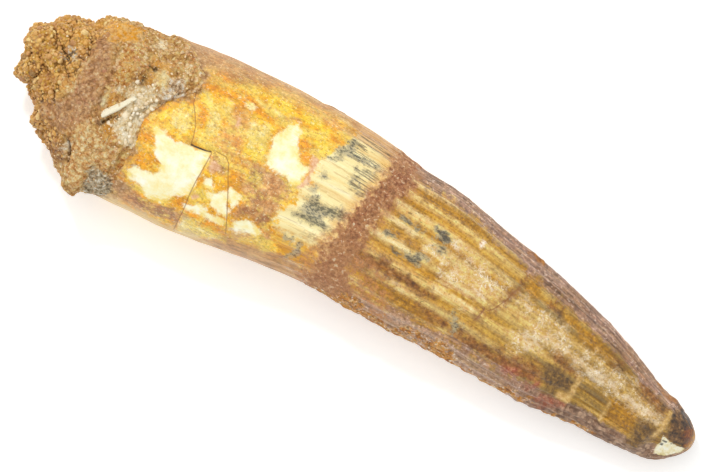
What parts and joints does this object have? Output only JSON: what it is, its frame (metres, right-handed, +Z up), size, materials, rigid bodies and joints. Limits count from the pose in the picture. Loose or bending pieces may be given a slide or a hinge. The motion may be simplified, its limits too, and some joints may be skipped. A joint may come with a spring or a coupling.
{
  "type": "fossil spinosaurus tooth",
  "caption": "Fossil spinosaurid tooth lying on its side: fluted crown and mottled root, with sandstone still cemented to the broken root end.",
  "frame": {"origin": "on the surface that the tooth lies on, under the middle of its length and width", "axes": "+X along the tooth from the sandstone lump to the tip, +Y across its width towards the outer side of its curve, +Z up"},
  "size_m": [0.1321, 0.0337, 0.0255],
  "materials": {
    "fossil_enamel": "semi-gloss fossil enamel, with satin fossil bone on the root",
    "sandstone": "rough, granular",
    "fossil_bone": "satin"
  },
  "bodies": {
    "root": {"tooth": "fossil_enamel", "sandstone_matrix": "sandstone", "bone_splinter": "fossil_bone"}
  },
  "joints": []
}
